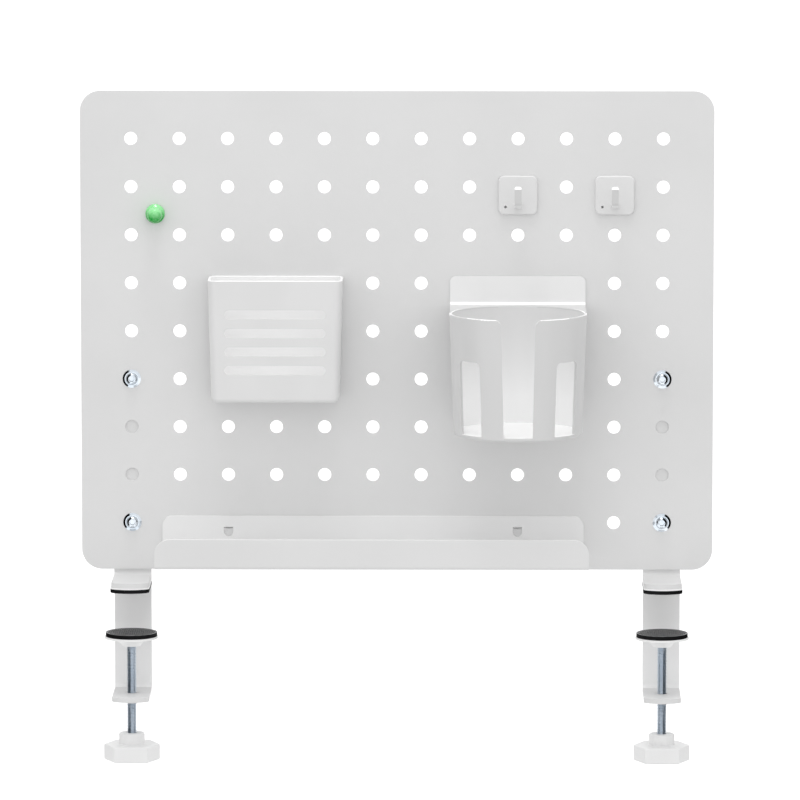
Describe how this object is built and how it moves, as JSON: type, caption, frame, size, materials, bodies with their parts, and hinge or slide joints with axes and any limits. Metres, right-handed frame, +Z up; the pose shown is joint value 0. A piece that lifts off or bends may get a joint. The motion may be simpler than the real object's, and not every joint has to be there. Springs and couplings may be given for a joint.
{
  "type": "clamp-on pegboard desk organizer",
  "caption": "White steel pegboard that clamps upright to a desk's back edge, with a pen box, a slotted cup holder, a tray, hooks and a magnetic pin.",
  "frame": {"origin": "the top rear edge of the desk, in the middle of the board: Z = 0 is the desk's top under the jaw rubbers and Y = 0 its rear edge against the clamp arms", "axes": "+X to the right and +Y to the rear, as seen by the person at the desk, and +Z up"},
  "size_m": [0.524, 0.1344, 0.5553],
  "materials": {
    "powder_coated_steel": "fine satin powder coat",
    "clamp_steel": "fine satin powder coat",
    "white_plastic": "smooth moulded satin",
    "liner_plastic": "smooth",
    "black_rubber": "fine moulded grain",
    "zinc": "bright zinc plate",
    "green_acrylic": "polished translucent",
    "magnet_nickel": "nickel plate"
  },
  "bodies": {
    "board": {"peg_panel": "powder_coated_steel", "left_jaw_bracket": "clamp_steel", "left_clamp_arm": "clamp_steel", "left_jaw_liner": "liner_plastic", "left_jaw_rubber": "black_rubber", "left_board_bolts": "zinc", "left_washers": "zinc", "left_flange_nuts": "zinc", "left_weld_nut": "clamp_steel", "right_jaw_bracket": "clamp_steel", "right_clamp_arm": "clamp_steel", "right_jaw_liner": "liner_plastic", "right_jaw_rubber": "black_rubber", "right_board_bolts": "zinc", "right_washers": "zinc", "right_flange_nuts": "zinc", "right_weld_nut": "clamp_steel"},
    "left_pad": {"left_pad_rubber": "black_rubber", "left_pad_cup": "liner_plastic"},
    "left_screw": {"left_clamp_screw": "zinc", "left_knob": "white_plastic"},
    "right_pad": {"right_pad_rubber": "black_rubber", "right_pad_cup": "liner_plastic"},
    "right_screw": {"right_clamp_screw": "zinc", "right_knob": "white_plastic"},
    "pen_box": {"pen_box": "white_plastic"},
    "cup_holder": {"cup_holder": "white_plastic"},
    "tray": {"tray": "powder_coated_steel"},
    "left_hook": {"left_hook": "white_plastic"},
    "right_hook": {"right_hook": "white_plastic"},
    "pin": {"pin_body": "green_acrylic", "pin_magnet": "magnet_nickel"}
  },
  "joints": [
    {"name": "left_pad_slide", "type": "slide", "parent": "board", "child": "left_pad", "axis": [0, 0, 1], "range_m": [-0.038, 0.024]},
    {"name": "left_screw_turn", "type": "hinge", "parent": "left_pad", "child": "left_screw", "pos_m": [-0.22, -0.03, -0.121], "axis": [0, 0, 1], "range_deg": [-10950, 6918]},
    {"name": "right_pad_slide", "type": "slide", "parent": "board", "child": "right_pad", "axis": [0, 0, 1], "range_m": [-0.038, 0.024]},
    {"name": "right_screw_turn", "type": "hinge", "parent": "right_pad", "child": "right_screw", "pos_m": [0.22, -0.03, -0.121], "axis": [0, 0, 1], "range_deg": [-10950, 6918]},
    {"name": "pen_box_lift", "type": "slide", "parent": "board", "child": "pen_box", "axis": [0, 0, 1], "range_m": [0, 0.0048]},
    {"name": "cup_holder_lift", "type": "slide", "parent": "board", "child": "cup_holder", "axis": [0, 0, 1], "range_m": [0, 0.0048]},
    {"name": "tray_lift", "type": "slide", "parent": "board", "child": "tray", "axis": [0, 0, 1], "range_m": [0, 0.0048]},
    {"name": "left_hook_lift", "type": "slide", "parent": "board", "child": "left_hook", "axis": [0, 0, 1], "range_m": [0, 0.0048]},
    {"name": "right_hook_lift", "type": "slide", "parent": "board", "child": "right_hook", "axis": [0, 0, 1], "range_m": [0, 0.0048]},
    {"name": "pin_pull", "type": "slide", "parent": "board", "child": "pin", "axis": [0, -1, 0], "range_m": [0, 0.025]}
  ],
  "couplings": [
    {"joint": "left_screw_turn", "follows": "left_pad_slide", "rad_per_m": 5026.5},
    {"joint": "right_screw_turn", "follows": "right_pad_slide", "rad_per_m": 5026.5}
  ]
}
